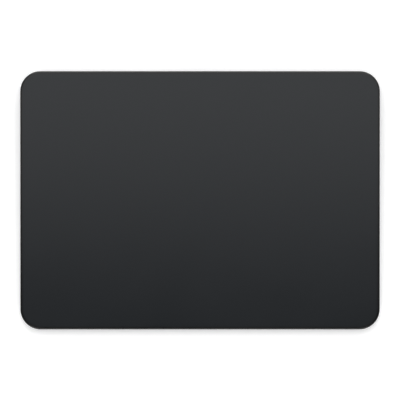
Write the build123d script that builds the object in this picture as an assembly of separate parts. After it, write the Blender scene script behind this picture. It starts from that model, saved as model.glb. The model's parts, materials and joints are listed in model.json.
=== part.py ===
from build123d import *
import math
import os

# A slim wireless trackpad for a desk, in millimetres.
# One sheet of black glass covers the top of a wedge-shaped aluminium tray. The glass and
# the sensor board under it form a floating deck, carried by a soft pad on each of four
# spring flexures. The flexures feel how hard a finger presses, and an electromagnet
# under the deck jerks it towards the front to imitate a click.
# Frame: +Z is up from the desk, +Y is towards the rear wall with the socket, +X is to
# the right of the person using it. The origin is on the desk, under the middle.

# Outline and wedge
WIDTH = 160.0
DEPTH = 114.9
CORNER_RADIUS = 9.0
FRONT_HEIGHT = 4.9
REAR_HEIGHT = 10.9

# Travel of the floating deck, and the room it is given
PRESS_TRAVEL = 0.15
HAPTIC_TRAVEL = 0.15
SEAM_CLEARANCE = 0.3
SEAL_CLEARANCE = 0.1
FLEXURE_FLOOR_CLEARANCE = 0.15

# Floating deck
GLASS_THICKNESS = 1.0
GLASS_EDGE_RADIUS = 0.8
GLASS_ADHESIVE_THICKNESS = 0.1
SENSOR_BOARD_THICKNESS = 0.6
SENSOR_BOARD_CLEARANCE = 0.7
TOUCH_CHIP_SIZE = 8.0
TOUCH_CHIP_THICKNESS = 0.9
TOUCH_CHIP_X = -24.0
TOUCH_CHIP_Y = 24.0

# Aluminium tray
FOOT_PROUD = 0.5
WALL = 1.8
FLOOR_THICKNESS = 0.7
BASE_EDGE_RADIUS = 2.2
RIM_CHAMFER = 0.2
OPENING_CHAMFER = 0.2
MIN_CORNER_RADIUS = 0.5
RIB_COUNT = 9
RIB_PITCH = 12.0
RIB_WIDTH = 1.0
RIB_HEIGHT = 0.4
RIB_GAP = 1.0
ANTENNA_WINDOW_MARGIN = 1.0
ANTENNA_WINDOW_COVER_LAP = 1.0
OVERRUN = 1.0

# Seal in a step on the inside of the tray's rim
SEAL_WIDTH = 0.8
SEAL_STEP_DEPTH = 0.5
SEAL_SIDE_GAP = 0.05

# Bottom cover and feet
COVER_INSET = 4.0
COVER_THICKNESS = 0.6
COVER_GAP = 0.12
COVER_EDGE_CHAMFER = 0.2
COVER_ADHESIVE_THICKNESS = 0.1
COVER_ADHESIVE_WIDTH = 3.0
FOOT_RADIUS = 4.5
FOOT_SIDE_INSET = 15.0
FOOT_END_INSET = 14.0
FOOT_POCKET_DEPTH = 0.3
FOOT_POCKET_GAP = 0.08
FOOT_EDGE_RADIUS = 0.25

# Screws, all of one low-headed kind
SCREW_RADIUS = 0.6
SCREW_LENGTH = 1.5
BRACKET_SCREW_LENGTH = 1.1
SCREW_HEAD_RADIUS = 1.1
SCREW_HEAD_HEIGHT = 0.25
SCREW_RECESS_LENGTH = 1.4
SCREW_RECESS_WIDTH = 0.3
SCREW_RECESS_DEPTH = 0.15
SCREW_HOLE_CLEARANCE = 0.15
THREAD_CLEARANCE = 0.04
THREAD_RELIEF = 0.1

# Spring flexures, their pads and their gauges
FLEXURE_LENGTH = 26.0
FLEXURE_WIDTH = 10.0
FLEXURE_THICKNESS = 0.3
FLEXURE_CORNER_RADIUS = 1.0
FLEXURE_SIDE_GAP = 2.5
FLEXURE_END_GAP = 8.0
FLEXURE_SEAT_DEPTH = 5.0
FLEXURE_SCREW_SPACING = 5.2
FLEXURE_SLIT_LENGTH = 11.0
FLEXURE_SLIT_WIDTH = 0.8
FLEXURE_SLIT_SPACING = 5.6
PAD_LENGTH = 6.0
PAD_SIDE_MARGIN = 1.0
PAD_END_GAP = 1.0
GAUGE_LENGTH = 6.0
GAUGE_SIDE_MARGIN = 0.6
GAUGE_THICKNESS = 0.08
HARNESS_WIDTH = 3.6
HARNESS_THICKNESS = 0.15
HARNESS_SEAT_GAP = 0.3
HARNESS_GAP = 2.4
RIBBON_BEND_RADIUS = 0.6

# Main board along the rear wall
BOARD_DEPTH = 13.5
BOARD_THICKNESS = 0.8
BOARD_LIFT = 0.3
BOARD_REAR_GAP = 1.45
BOARD_BOSS_RADIUS = 1.7
BOARD_END_GAP = 0.2
BOARD_SCREW_GAP = 0.6
BOARD_SCREW_EDGE_INSET = 2.2
BOARD_CORNER_RADIUS = 1.0

# Socket for the charging lead
USB_SHELL_WIDTH = 8.94
USB_SHELL_HEIGHT = 3.2
USB_SHELL_WALL = 0.3
USB_SHELL_LENGTH = 8.2
USB_RECESS = 0.25
USB_WALL_CLEARANCE = 0.15
USB_TONGUE_WIDTH = 6.69
USB_TONGUE_THICKNESS = 0.7
USB_TONGUE_RECESS = 0.6
USB_BASE_DEPTH = 2.2
USB_BASE_GAP = 0.03
USB_CONTACT_COUNT = 12
USB_CONTACT_PITCH = 0.5
USB_CONTACT_WIDTH = 0.25
USB_CONTACT_LENGTH = 3.2
USB_CONTACT_THICKNESS = 0.05
USB_CONTACT_TIP_GAP = 0.5
USB_BRACKET_THICKNESS = 0.3
USB_BRACKET_LENGTH = 4.0
USB_BRACKET_EAR = 1.8
USB_BRACKET_INSET = 0.9
USB_BRACKET_GAP = 0.04

# Power switch
SWITCH_TRAVEL = 2.5
SWITCH_KNOB_LENGTH = 6.5
SWITCH_KNOB_HEIGHT = 2.2
SWITCH_KNOB_EDGE_RADIUS = 0.3
SWITCH_SLOT_CLEARANCE = 0.15
SWITCH_KNOB_RECESS = 0.2
SWITCH_GRIP_COUNT = 3
SWITCH_GRIP_PITCH = 0.8
SWITCH_GRIP_WIDTH = 0.3
SWITCH_GRIP_DEPTH = 0.15
SWITCH_GRIP_MARGIN = 0.45
CARRIER_GAP = 0.3
CARRIER_THICKNESS = 0.6
CARRIER_OVERLAP = 0.8
CARRIER_PRONG_REACH = 1.0
CARRIER_PRONG_WIDTH = 0.9
FLAG_THICKNESS = 0.1
FLAG_MARGIN = 0.3
FLAG_KNOB_GAP = 0.03
ACTUATOR_LENGTH = 1.6
ACTUATOR_HEIGHT = 1.2
ACTUATOR_DEPTH = 2.3
ACTUATOR_SIDE_GAP = 0.03
ACTUATOR_REAR_GAP = 0.1
SWITCH_HOUSING_LENGTH = 9.0
SWITCH_HOUSING_DEPTH = 3.6
SWITCH_HOUSING_GAP = 0.35
SWITCH_WINDOW_CLEARANCE = 0.2

# Battery
BATTERY_DEPTH = 37.0
BATTERY_DECK_CLEARANCE = 0.5
BATTERY_EDGE_RADIUS = 1.2
BATTERY_BOARD_GAP = 1.0
BATTERY_ADHESIVE_THICKNESS = 0.15
BATTERY_ADHESIVE_WIDTH = 22.0
BATTERY_ADHESIVE_END_GAP = 13.0
TERRACE_DEPTH = 3.0
TERRACE_END_GAP = 4.0
TERRACE_THICKNESS = 0.3
TERRACE_HEIGHT = 1.2
PROTECTION_BOARD_END_GAP = 4.0
PROTECTION_BOARD_EDGE_GAP = 0.2
PROTECTION_BOARD_THICKNESS = 0.5
PROTECTION_CHIP_SIZE = 1.8
PROTECTION_CHIP_THICKNESS = 0.6
PROTECTION_CHIP_SPACING = 14.0

# Electromagnet and the bar that it pulls
ENGINE_BATTERY_GAP = 2.5
BAR_DEPTH = 4.0
MOUNT_END_MARGIN = 5.0
MOUNT_EDGE_MARGIN = 1.5
MOUNT_THICKNESS = 0.4
AIR_GAP_CLEARANCE = 0.25
CORE_LENGTH = 62.0
CORE_THICKNESS = 1.2
YOKE_DEPTH = 5.0
TOOTH_COUNT = 4
TOOTH_WIDTH = 6.0
TOOTH_LENGTH = 8.0
COIL_BUILD = 0.5
COIL_TOOTH_GAP = 0.05
COIL_FLOOR_GAP = 0.1
COIL_TIP_REVEAL = 1.3
COIL_YOKE_GAP = 0.2
COIL_CORNER_RADIUS = 0.35
BRACKET_EAR = 6.0
BRACKET_CORNER_RADIUS = 0.8
BRACKET_SCREW_REAR_INSET = 1.5

# Parts on the main board, in a row along its rear edge outwards from the socket
CHIP_GAP = 1.2
CHIP_REAR_GAP = 1.2
CONTROLLER_SIZE = 7.0
CONTROLLER_HEIGHT = 0.9
SHIELD_LENGTH = 14.0
SHIELD_DEPTH = 8.5
SHIELD_HEIGHT = 1.8
SHIELD_EDGE_RADIUS = 0.4
ANTENNA_LENGTH = 7.0
ANTENNA_DEPTH = 2.0
ANTENNA_HEIGHT = 1.2
CHARGER_SIZE = 4.0
CHARGER_HEIGHT = 0.8
INDUCTOR_SIZE = 4.0
INDUCTOR_HEIGHT = 2.0
INDUCTOR_EDGE_RADIUS = 0.5
CAPACITOR_LENGTH = 1.6
CAPACITOR_DEPTH = 0.8
CAPACITOR_HEIGHT = 0.8
CAPACITOR_COLUMNS = 3
CAPACITOR_ROWS = 2
CAPACITOR_COLUMN_PITCH = 2.4
CAPACITOR_ROW_PITCH = 1.6
DRIVER_SIZE = 4.0
DRIVER_HEIGHT = 0.8

# Connectors along the front edge of the main board, and the leads that they take
SOCKET_DEPTH = 2.6
SOCKET_HEIGHT = 1.0
SOCKET_FRONT_INSET = 0.5
SOCKET_SLOT_CLEARANCE = 0.06
SOCKET_SIDE_WALL = 1.0
SOCKET_REACH = 1.5
BATTERY_LEAD_WIDTH = 8.0
SENSOR_FLEX_WIDTH = 12.0
SENSOR_FLEX_X = 20.0
SENSOR_FLEX_SLANT = 1.4
SENSOR_FLEX_LAP = 9.0
HAPTIC_LEAD_WIDTH = 2.0
HAPTIC_LEAD_GAP = 0.3
HAPTIC_LEAD_EDGE_GAP = 0.1
HAPTIC_LEAD_STEP = 0.6
LEAD_THICKNESS = 0.15

# Levels and places that follow from the sizes above
TILT = math.atan2(REAR_HEIGHT - FRONT_HEIGHT, DEPTH)
MID_HEIGHT = (FRONT_HEIGHT + REAR_HEIGHT) / 2
UNDERSIDE = FOOT_PROUD
COVER_TOP = UNDERSIDE + COVER_THICKNESS
FLOOR_BOTTOM = COVER_TOP + COVER_ADHESIVE_THICKNESS
FLOOR_TOP = FLOOR_BOTTOM + FLOOR_THICKNESS
INNER_X = WIDTH / 2 - WALL
INNER_Y = DEPTH / 2 - WALL
RIM_LEVEL = GLASS_THICKNESS + PRESS_TRAVEL + SEAM_CLEARANCE
SENSOR_LEVEL = GLASS_THICKNESS + GLASS_ADHESIVE_THICKNESS
DECK_LEVEL = SENSOR_LEVEL + SENSOR_BOARD_THICKNESS

BOARD_BOTTOM = FLOOR_TOP + BOARD_LIFT
BOARD_TOP = BOARD_BOTTOM + BOARD_THICKNESS
BOARD_REAR = INNER_Y - BOARD_REAR_GAP
BOARD_FRONT = BOARD_REAR - BOARD_DEPTH
SOCKET_FRONT = BOARD_FRONT + SOCKET_FRONT_INSET
LEAD_LEVEL = BOARD_TOP + SOCKET_HEIGHT / 2
PORT_HEIGHT = BOARD_TOP + USB_SHELL_HEIGHT / 2
USB_MOUTH = DEPTH / 2 - USB_RECESS

FLEXURE_X = INNER_X - FLEXURE_SIDE_GAP - FLEXURE_WIDTH / 2
FLEXURE_TIP = INNER_Y - FLEXURE_END_GAP
FLEXURE_ROOT = FLEXURE_TIP - FLEXURE_LENGTH
FLEXURE_SCREW_V = FLEXURE_ROOT + FLEXURE_SEAT_DEPTH / 2
FLEXURE_TIP_HEIGHT = FLOOR_TOP + PRESS_TRAVEL + FLEXURE_FLOOR_CLEARANCE
FLEXURE_LEVEL = (MID_HEIGHT - FLEXURE_TIP * math.sin(TILT) - FLEXURE_TIP_HEIGHT) / math.cos(TILT)
FLEXURE_TOP_LEVEL = FLEXURE_LEVEL - FLEXURE_THICKNESS
PAD_THICKNESS = FLEXURE_TOP_LEVEL - DECK_LEVEL
PAD_WIDTH = FLEXURE_WIDTH - 2 * PAD_SIDE_MARGIN
GAUGE_WIDTH = FLEXURE_SLIT_SPACING - FLEXURE_SLIT_WIDTH - 2 * GAUGE_SIDE_MARGIN
HARNESS_X = FLEXURE_X - FLEXURE_WIDTH / 2 - HARNESS_GAP - HARNESS_WIDTH / 2
HARNESS_FRONT = -FLEXURE_SCREW_V - HARNESS_WIDTH / 2

HARNESS_SOCKET_WIDTH = HARNESS_WIDTH + 2 * SOCKET_SIDE_WALL
BOARD_LENGTH = 2 * (HARNESS_X + HARNESS_SOCKET_WIDTH / 2 + BOARD_END_GAP)
BOARD_SCREW_X = HARNESS_X - HARNESS_SOCKET_WIDTH / 2 - BOARD_SCREW_GAP - SCREW_HEAD_RADIUS
HAPTIC_SOCKET_WIDTH = HAPTIC_LEAD_WIDTH + 2 * SOCKET_SIDE_WALL
HAPTIC_LEAD_X = BOARD_SCREW_X - SCREW_HEAD_RADIUS - BOARD_SCREW_GAP - HAPTIC_SOCKET_WIDTH / 2

USB_BRACKET_WIDTH = USB_SHELL_WIDTH + 2 * (USB_BRACKET_GAP + USB_BRACKET_THICKNESS + USB_BRACKET_EAR)
CONTROLLER_X = -USB_BRACKET_WIDTH / 2 - CHIP_GAP - CONTROLLER_SIZE / 2
SHIELD_X = CONTROLLER_X - CONTROLLER_SIZE / 2 - CHIP_GAP - SHIELD_LENGTH / 2
ANTENNA_X = SHIELD_X - SHIELD_LENGTH / 2 - CHIP_GAP - ANTENNA_LENGTH / 2
ANTENNA_WINDOW_REAR = DEPTH / 2 - COVER_INSET - COVER_GAP - ANTENNA_WINDOW_COVER_LAP
ANTENNA_REAR = ANTENNA_WINDOW_REAR - ANTENNA_WINDOW_MARGIN
CHARGER_X = USB_BRACKET_WIDTH / 2 + CHIP_GAP + CHARGER_SIZE / 2
INDUCTOR_X = CHARGER_X + CHARGER_SIZE / 2 + CHIP_GAP + INDUCTOR_SIZE / 2
CAPACITOR_X = INDUCTOR_X + INDUCTOR_SIZE / 2 + CHIP_GAP + CAPACITOR_LENGTH / 2
LAST_CAPACITOR_X = CAPACITOR_X + (CAPACITOR_COLUMNS - 1) * CAPACITOR_COLUMN_PITCH
DRIVER_X = LAST_CAPACITOR_X + CAPACITOR_LENGTH / 2 + CHIP_GAP + DRIVER_SIZE / 2
SWITCH_X = DRIVER_X + DRIVER_SIZE / 2 + CHIP_GAP + SWITCH_HOUSING_LENGTH / 2

BATTERY_LENGTH = 2 * (HAPTIC_LEAD_X - HAPTIC_LEAD_WIDTH / 2 - HAPTIC_LEAD_GAP)
BATTERY_REAR = BOARD_FRONT - BATTERY_BOARD_GAP - TERRACE_DEPTH
BATTERY_FRONT = BATTERY_REAR - BATTERY_DEPTH
BATTERY_BOTTOM = FLOOR_TOP + BATTERY_ADHESIVE_THICKNESS
DECK_ABOVE_BATTERY = MID_HEIGHT + BATTERY_FRONT * math.tan(TILT) - DECK_LEVEL / math.cos(TILT)
BATTERY_TOP = DECK_ABOVE_BATTERY - BATTERY_DECK_CLEARANCE
TERRACE_LENGTH = BATTERY_LENGTH - 2 * TERRACE_END_GAP
TERRACE_BOTTOM = BATTERY_BOTTOM + TERRACE_HEIGHT
PROTECTION_BOARD_LENGTH = TERRACE_LENGTH - 2 * PROTECTION_BOARD_END_GAP
PROTECTION_BOARD_DEPTH = TERRACE_DEPTH - 2 * PROTECTION_BOARD_EDGE_GAP
PROTECTION_BOARD_REAR = BATTERY_REAR + TERRACE_DEPTH - PROTECTION_BOARD_EDGE_GAP
PROTECTION_BOARD_MIDDLE = BATTERY_REAR + TERRACE_DEPTH / 2
PROTECTION_BOARD_BOTTOM = TERRACE_BOTTOM + TERRACE_THICKNESS
PROTECTION_BOARD_TOP = PROTECTION_BOARD_BOTTOM + PROTECTION_BOARD_THICKNESS

COIL_HEIGHT = CORE_THICKNESS + 2 * (COIL_TOOTH_GAP + COIL_BUILD)
CORE_BOTTOM = FLOOR_TOP + COIL_FLOOR_GAP + COIL_BUILD + COIL_TOOTH_GAP
CORE_TOP = CORE_BOTTOM + CORE_THICKNESS
BAR_REAR = BATTERY_FRONT - ENGINE_BATTERY_GAP
BAR_FRONT = BAR_REAR - BAR_DEPTH
TOOTH_PITCH = CORE_LENGTH / TOOTH_COUNT
TOOTH_TIP = BAR_FRONT - HAPTIC_TRAVEL - AIR_GAP_CLEARANCE
YOKE_REAR = TOOTH_TIP - TOOTH_LENGTH
YOKE_FRONT = YOKE_REAR - YOKE_DEPTH

KNOB_REST_X = SWITCH_X + SWITCH_TRAVEL / 2
KNOB_FACE = DEPTH / 2 - SWITCH_KNOB_RECESS
SLOT_HEIGHT = SWITCH_KNOB_HEIGHT + 2 * SWITCH_SLOT_CLEARANCE
SLOT_LENGTH = SWITCH_KNOB_LENGTH + SWITCH_TRAVEL + 2 * SWITCH_SLOT_CLEARANCE
CARRIER_REAR = INNER_Y - CARRIER_GAP
CARRIER_FRONT = CARRIER_REAR - CARRIER_THICKNESS
CARRIER_HEIGHT = SLOT_HEIGHT + 2 * CARRIER_OVERLAP
CARRIER_LENGTH = SLOT_LENGTH + SWITCH_TRAVEL + 2 * CARRIER_OVERLAP
PRONG_FRONT = CARRIER_FRONT - CARRIER_PRONG_REACH
HOUSING_REAR = PRONG_FRONT - SWITCH_HOUSING_GAP
ACTUATOR_REAR = CARRIER_FRONT - ACTUATOR_REAR_GAP

ON_ITS_BASE = (Align.CENTER, Align.CENTER, Align.MIN)


def block(size_x, size_y, size_z, x=0, y=0, z=0):
    """A box whose lower face is centred on x, y, z."""
    return Pos(x, y, z) * Box(size_x, size_y, size_z, align=ON_ITS_BASE)


def bar(size_x, front, rear, low, high, x=0):
    """A box centred on x, from front to rear and from low to high."""
    return block(size_x, rear - front, high - low, x, (front + rear) / 2, low)


def post(radius, height, x=0, y=0, z=0):
    """An upright cylinder whose lower face is centred on x, y, z."""
    return Pos(x, y, z) * Cylinder(radius, height, align=ON_ITS_BASE)


def group(shapes):
    """Separate solids that share one node."""
    return Compound(children=[solid for shape in shapes for solid in shape.solids()])


def plan_prism(inset, low, high):
    """The outline seen from above, moved in from its edge, as an upright prism."""
    radius = max(CORNER_RADIUS - inset, MIN_CORNER_RADIUS)
    outline = RectangleRounded(WIDTH - 2 * inset, DEPTH - 2 * inset, radius)
    return Pos(0, 0, low) * extrude(outline, amount=high - low)


def deck_plane(below):
    """A plane parallel to the top of the glass, at a distance below it."""
    tilted_up = (0, -math.sin(TILT), math.cos(TILT))
    top = Plane(origin=(0, 0, MID_HEIGHT), x_dir=(1, 0, 0), z_dir=tilted_up)
    return top.offset(-below)


def deck_slab(inset, upper, lower):
    """The outline's prism between two distances below the top of the glass."""
    prism = plan_prism(inset, 0, REAR_HEIGHT + OVERRUN)
    prism = split(prism, bisect_by=deck_plane(upper), keep=Keep.BOTTOM)
    return split(prism, bisect_by=deck_plane(lower), keep=Keep.TOP)


def above_floor(shape):
    """Trims what reaches down out of the tray at the middle of its floor."""
    middle = Plane.XY.offset(FLOOR_TOP - FLOOR_THICKNESS / 2)
    return split(shape, bisect_by=middle, keep=Keep.TOP)


def slot_prism(length, height, front, rear, x=0):
    """A round-ended slot as a prism from front to rear, at the height of the ports."""
    outline = Plane.XZ * SlotOverall(length, height)
    return Pos(x, rear, PORT_HEIGHT) * extrude(outline, amount=rear - front)


def deck_height(y, below):
    """The height at y of the plane at a distance below the top of the glass."""
    return MID_HEIGHT + y * math.tan(TILT) - below / math.cos(TILT)


def ribbon(points, thickness, width, x):
    """A flat lead of some width at x, whose middle line runs through (y, z) points."""
    line = FilletPolyline(*points, radius=RIBBON_BEND_RADIUS)
    side = Plane.YZ * trace(line, thickness)
    return Pos(x, 0, 0) * extrude(side, amount=width / 2, both=True)


def flexure_places():
    """The name of each flexure's corner, and the signs of its x and y."""
    for end, y_sign in (("front", -1), ("rear", 1)):
        for side, x_sign in (("left", -1), ("right", 1)):
            yield f"{end}_{side}", x_sign, y_sign


def flexure_screw_places():
    """(x, v) of each flexure screw, with v measured up the slope of the deck."""
    for _, x_sign, y_sign in flexure_places():
        for offset in (-FLEXURE_SCREW_SPACING / 2, FLEXURE_SCREW_SPACING / 2):
            yield x_sign * FLEXURE_X + offset, y_sign * FLEXURE_SCREW_V


def foot_places():
    """The name of each foot, and its x and y."""
    foot_x = WIDTH / 2 - FOOT_SIDE_INSET
    foot_y = DEPTH / 2 - FOOT_END_INSET
    for corner, x_sign, y_sign in flexure_places():
        yield f"foot_{corner}", x_sign * foot_x, y_sign * foot_y


def board_screw_places():
    """(x, y) of the four screws that hold the main board."""
    for x in (-BOARD_SCREW_X, BOARD_SCREW_X):
        for y in (BOARD_FRONT + BOARD_SCREW_EDGE_INSET, BOARD_REAR - BOARD_SCREW_EDGE_INSET):
            yield x, y


def bracket_screw_places():
    """(x, y) of the two screws that hold the electromagnet."""
    for x_sign in (-1, 1):
        yield x_sign * (CORE_LENGTH + BRACKET_EAR) / 2, YOKE_REAR - BRACKET_SCREW_REAR_INSET


def screw(length):
    """A screw along Z, with the seat of its head at the origin and its thread below."""
    head = post(SCREW_HEAD_RADIUS, SCREW_HEAD_HEIGHT)
    shank = post(SCREW_RADIUS, length, z=-length)
    recess_floor = SCREW_HEAD_HEIGHT - SCREW_RECESS_DEPTH
    slot = block(SCREW_RECESS_LENGTH, SCREW_RECESS_WIDTH, SCREW_HEAD_HEIGHT, z=recess_floor)
    return head + shank - slot - Rot(0, 0, 90) * slot


def screw_hole(length, x, y, z):
    """A threaded hole for a screw whose head is seated at height z."""
    depth = length + THREAD_RELIEF
    return post(SCREW_RADIUS + THREAD_CLEARANCE, depth + OVERRUN, x, y, z - depth)


def clear_hole(height, x, y, z):
    """A hole that a screw passes through freely."""
    return post(SCREW_RADIUS + SCREW_HOLE_CLEARANCE, height + 2 * OVERRUN, x, y, z - OVERRUN)


def make_flexure_seats():
    """Four towers on the floor that carry the fixed ends of the flexures."""
    seats = []
    for _, x_sign, y_sign in flexure_places():
        tower = block(FLEXURE_WIDTH, FLEXURE_SEAT_DEPTH, REAR_HEIGHT, z=-REAR_HEIGHT)
        place = Pos(x_sign * FLEXURE_X, y_sign * FLEXURE_SCREW_V, 0)
        seats.append(above_floor(deck_plane(FLEXURE_LEVEL) * place * tower))
    return seats


def make_floor_ribs():
    """Stiffening ribs on the floor under the front of the deck."""
    front = -INNER_Y - WALL / 2
    rear = min(YOKE_FRONT, HARNESS_FRONT) - RIB_GAP
    low = FLOOR_TOP - FLOOR_THICKNESS / 2
    first = -(RIB_COUNT - 1) / 2 * RIB_PITCH
    return [
        bar(RIB_WIDTH, front, rear, low, FLOOR_TOP + RIB_HEIGHT, first + n * RIB_PITCH)
        for n in range(RIB_COUNT)
    ]


def make_antenna_window():
    """The opening in the floor under the antenna, which the bottom cover laps all round."""
    width = ANTENNA_LENGTH + 2 * ANTENNA_WINDOW_MARGIN
    rear = ANTENNA_WINDOW_REAR
    front = rear - ANTENNA_DEPTH - 2 * ANTENNA_WINDOW_MARGIN
    return bar(width, front, rear, FLOOR_BOTTOM - OVERRUN, FLOOR_TOP + OVERRUN, ANTENNA_X)


def make_wall_opening(length, height, x):
    """A round-ended opening through the rear wall, chamfered at the outside."""
    face = DEPTH / 2
    passage = slot_prism(length, height, INNER_Y - OVERRUN, face + OVERRUN, x)
    wide_length = length + 2 * OPENING_CHAMFER
    wide_height = height + 2 * OPENING_CHAMFER
    mouth = Plane.XZ.offset(-face) * Pos(x, PORT_HEIGHT) * SlotOverall(wide_length, wide_height)
    throat = Plane.XZ.offset(OPENING_CHAMFER - face) * Pos(x, PORT_HEIGHT) * SlotOverall(length, height)
    return passage + loft([*mouth.faces(), *throat.faces()])


def make_enclosure():
    """The aluminium tray: walls, floor, seats and the openings in its rear wall."""
    tray = plan_prism(0, UNDERSIDE, REAR_HEIGHT)
    tray = fillet(tray.edges().group_by(Axis.Z)[0], BASE_EDGE_RADIUS)
    tray = split(tray, bisect_by=deck_plane(RIM_LEVEL), keep=Keep.BOTTOM)
    rim = tray.faces().filter_by(deck_plane(RIM_LEVEL))
    tray = chamfer(rim.edges(), RIM_CHAMFER)
    tray -= plan_prism(WALL, FLOOR_TOP, REAR_HEIGHT)
    tray -= deck_slab(WALL - SEAL_WIDTH, RIM_LEVEL - OVERRUN, RIM_LEVEL + SEAL_STEP_DEPTH)
    tray -= plan_prism(COVER_INSET, UNDERSIDE - OVERRUN, FLOOR_BOTTOM)
    tray += make_flexure_seats()
    tray += make_floor_ribs()
    boss_low = FLOOR_TOP - FLOOR_THICKNESS / 2
    for x, y in board_screw_places():
        tray += post(BOARD_BOSS_RADIUS, BOARD_BOTTOM - boss_low, x, y, boss_low)
    for x, y in board_screw_places():
        tray -= screw_hole(SCREW_LENGTH, x, y, BOARD_TOP)
    for x, y in bracket_screw_places():
        tray -= screw_hole(BRACKET_SCREW_LENGTH, x, y, CORE_BOTTOM)
    for x, v in flexure_screw_places():
        tray -= deck_plane(FLEXURE_TOP_LEVEL) * screw_hole(SCREW_LENGTH, x, v, 0)
    tray -= make_antenna_window()
    tray -= make_wall_opening(SLOT_LENGTH, SLOT_HEIGHT, SWITCH_X)
    usb_length = USB_SHELL_WIDTH + 2 * USB_WALL_CLEARANCE
    usb_height = USB_SHELL_HEIGHT + 2 * USB_WALL_CLEARANCE
    tray -= make_wall_opening(usb_length, usb_height, 0)
    return tray


def make_rim_seal():
    """A soft ring in the step of the rim, which closes the seam under the glass."""
    upper = GLASS_THICKNESS + PRESS_TRAVEL + SEAL_CLEARANCE
    lower = RIM_LEVEL + SEAL_STEP_DEPTH
    ring = deck_slab(WALL - SEAL_WIDTH + SEAL_SIDE_GAP, upper, lower)
    return ring - plan_prism(WALL, 0, REAR_HEIGHT)


def make_bottom_cover():
    """The thin plate that closes the underside, with a pocket for each foot."""
    plate = plan_prism(COVER_INSET + COVER_GAP, UNDERSIDE, COVER_TOP)
    plate = chamfer(plate.edges().group_by(Axis.Z)[0], COVER_EDGE_CHAMFER)
    pocket_radius = FOOT_RADIUS + FOOT_POCKET_GAP
    for _, x, y in foot_places():
        plate -= post(pocket_radius, FOOT_POCKET_DEPTH + OVERRUN, x, y, UNDERSIDE - OVERRUN)
    return plate


def make_cover_adhesive():
    """The frame of adhesive film that holds the bottom cover."""
    outer = plan_prism(COVER_INSET + COVER_GAP, COVER_TOP, FLOOR_BOTTOM)
    return outer - plan_prism(COVER_INSET + COVER_GAP + COVER_ADHESIVE_WIDTH, 0, FLOOR_TOP)


def make_foot(x, y):
    """A round rubber foot, seated in its pocket."""
    foot = post(FOOT_RADIUS, FOOT_PROUD + FOOT_POCKET_DEPTH, x, y)
    return fillet(foot.edges().group_by(Axis.Z)[0], FOOT_EDGE_RADIUS)


def make_top_glass():
    """The sheet of glass, with rounded top edges."""
    glass = deck_slab(0, 0, GLASS_THICKNESS)
    top = glass.faces().filter_by(deck_plane(0)).sort_by(Axis.Z)[-1]
    return fillet(top.edges(), GLASS_EDGE_RADIUS)


def make_glass_adhesive():
    return deck_slab(WALL + SENSOR_BOARD_CLEARANCE, GLASS_THICKNESS, SENSOR_LEVEL)


def make_sensor_board():
    return deck_slab(WALL + SENSOR_BOARD_CLEARANCE, SENSOR_LEVEL, DECK_LEVEL)


def make_touch_controller():
    """The chip under the sensor board that reads the touch grid."""
    chip = block(TOUCH_CHIP_SIZE, TOUCH_CHIP_SIZE, TOUCH_CHIP_THICKNESS, TOUCH_CHIP_X, TOUCH_CHIP_Y)
    return deck_plane(DECK_LEVEL + TOUCH_CHIP_THICKNESS) * chip


def make_flexure(x_sign, y_sign):
    """A flat spring: its inner end is screwed down and its outer end carries a pad."""
    blank = RectangleRounded(FLEXURE_WIDTH, FLEXURE_LENGTH, FLEXURE_CORNER_RADIUS)
    plate = extrude(blank, amount=FLEXURE_THICKNESS)
    for offset in (-FLEXURE_SLIT_SPACING / 2, FLEXURE_SLIT_SPACING / 2):
        slit = Rot(0, 0, 90) * SlotOverall(FLEXURE_SLIT_LENGTH, FLEXURE_SLIT_WIDTH)
        plate -= Pos(offset, 0, 0) * extrude(slit, amount=FLEXURE_THICKNESS)
    screw_v = y_sign * (FLEXURE_SCREW_V - FLEXURE_ROOT - FLEXURE_LENGTH / 2)
    for offset in (-FLEXURE_SCREW_SPACING / 2, FLEXURE_SCREW_SPACING / 2):
        plate -= clear_hole(FLEXURE_THICKNESS, offset, screw_v, 0)
    place = Pos(x_sign * FLEXURE_X, y_sign * (FLEXURE_ROOT + FLEXURE_LENGTH / 2), 0)
    return deck_plane(FLEXURE_LEVEL) * place * plate


def make_gel_pad(x_sign, y_sign):
    """The soft block between a flexure's free end and the deck."""
    pad_v = FLEXURE_TIP - PAD_END_GAP - PAD_LENGTH / 2
    pad = block(PAD_WIDTH, PAD_LENGTH, PAD_THICKNESS, x_sign * FLEXURE_X, y_sign * pad_v)
    return deck_plane(FLEXURE_TOP_LEVEL) * pad


def make_strain_gauges():
    """A thin gauge on each flexure, between its slits."""
    gauges = []
    for _, x_sign, y_sign in flexure_places():
        middle = y_sign * (FLEXURE_ROOT + FLEXURE_LENGTH / 2)
        gauge = block(GAUGE_WIDTH, GAUGE_LENGTH, GAUGE_THICKNESS, x_sign * FLEXURE_X, middle)
        gauges.append(deck_plane(FLEXURE_TOP_LEVEL) * gauge)
    return group(gauges)


def floor_lead(front, thickness, width, x):
    """A flat lead that runs back along the floor and rises to its socket."""
    low = FLOOR_TOP + thickness / 2
    rise = BOARD_FRONT - BATTERY_BOARD_GAP
    plug = SOCKET_FRONT + SOCKET_REACH
    points = [(front, low), (BATTERY_REAR, low), (rise, LEAD_LEVEL), (plug, LEAD_LEVEL)]
    return ribbon(points, thickness, width, x)


def make_gauge_harness(x_sign):
    """The flat lead from the flexures of one side, along the floor to the main board."""
    lead = floor_lead(HARNESS_FRONT, HARNESS_THICKNESS, HARNESS_WIDTH, x_sign * HARNESS_X)
    tab_length = FLEXURE_X - FLEXURE_WIDTH / 2 - HARNESS_SEAT_GAP - HARNESS_X
    tab_x = x_sign * (HARNESS_X + tab_length / 2)
    for y in (-FLEXURE_SCREW_V, FLEXURE_SCREW_V):
        lead += block(tab_length, HARNESS_WIDTH, HARNESS_THICKNESS, tab_x, y, FLOOR_TOP)
    return lead


def make_flexure_screws():
    return group(
        deck_plane(FLEXURE_TOP_LEVEL) * Pos(x, v, 0) * screw(SCREW_LENGTH)
        for x, v in flexure_screw_places()
    )


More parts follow.
